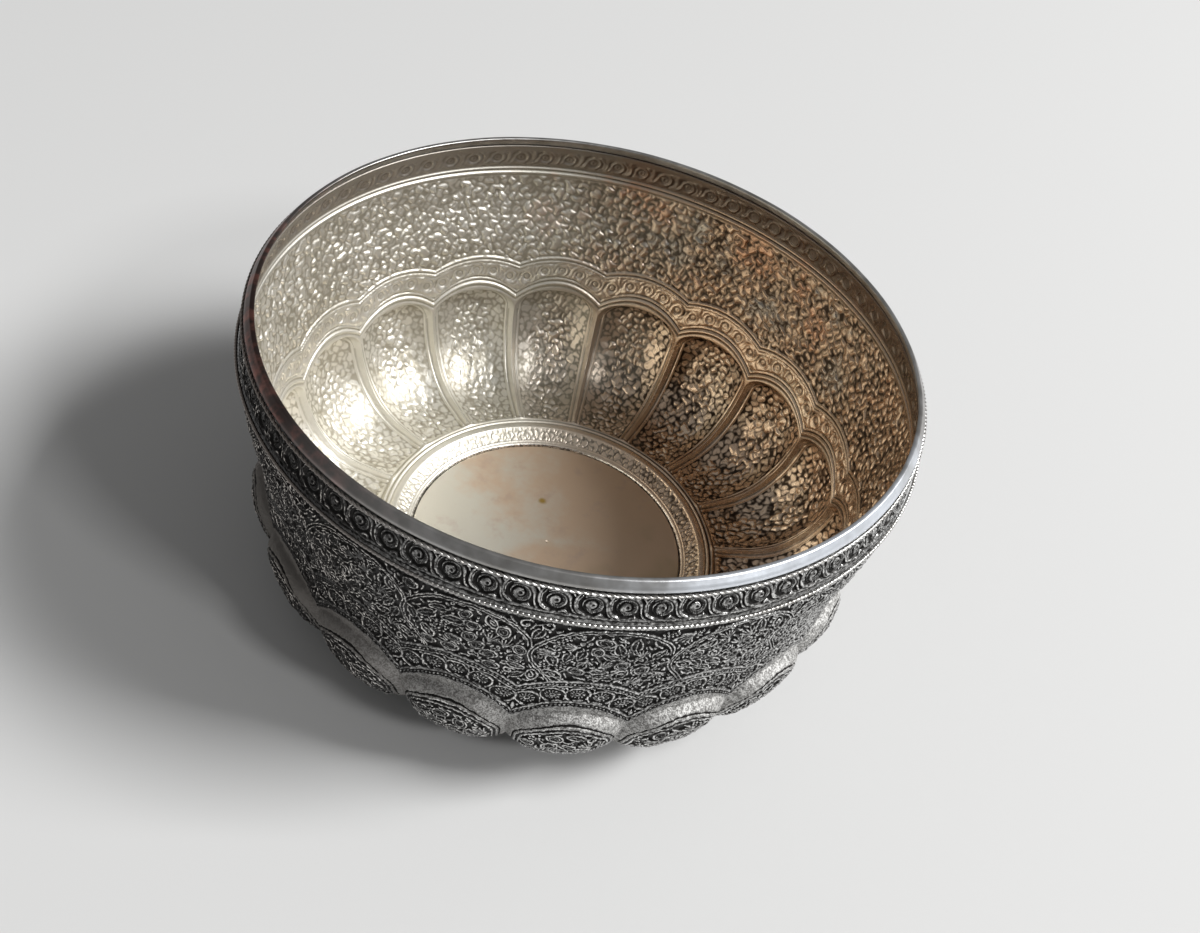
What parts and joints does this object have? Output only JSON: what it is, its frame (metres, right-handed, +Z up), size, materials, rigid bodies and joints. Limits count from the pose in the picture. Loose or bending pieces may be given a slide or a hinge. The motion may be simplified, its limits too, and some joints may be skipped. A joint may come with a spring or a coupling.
{
  "type": "lobed silver bowl",
  "caption": "Raised silver bowl with a lobed lower body, chased scroll and flower bands, a plain flared lip and a plain flat floor; it stands on its flat base and holds food or liquid.",
  "frame": {"origin": "centre of the flat face that the bowl rests on", "axes": "+Z up along the bowl's axis, out of its mouth; +X and -X each through a crease between two lobes"},
  "size_m": [0.1686, 0.1686, 0.084],
  "materials": {
    "chased_silver": "chased in relief, blackened in the ground and worn bright on top, warm and tarnished inside",
    "floor_silver": "plain, worn satin, with blotchy tarnish",
    "polished_silver": "plain, polished, lightly scratched",
    "wire_silver": "worn bright, blackened between the strands and beads"
  },
  "bodies": {
    "root": {"bowl_wall": "chased_silver", "base_disc": "floor_silver", "lip_band": "polished_silver", "rope_wire": "wire_silver", "beaded_wire": "wire_silver"}
  },
  "joints": []
}
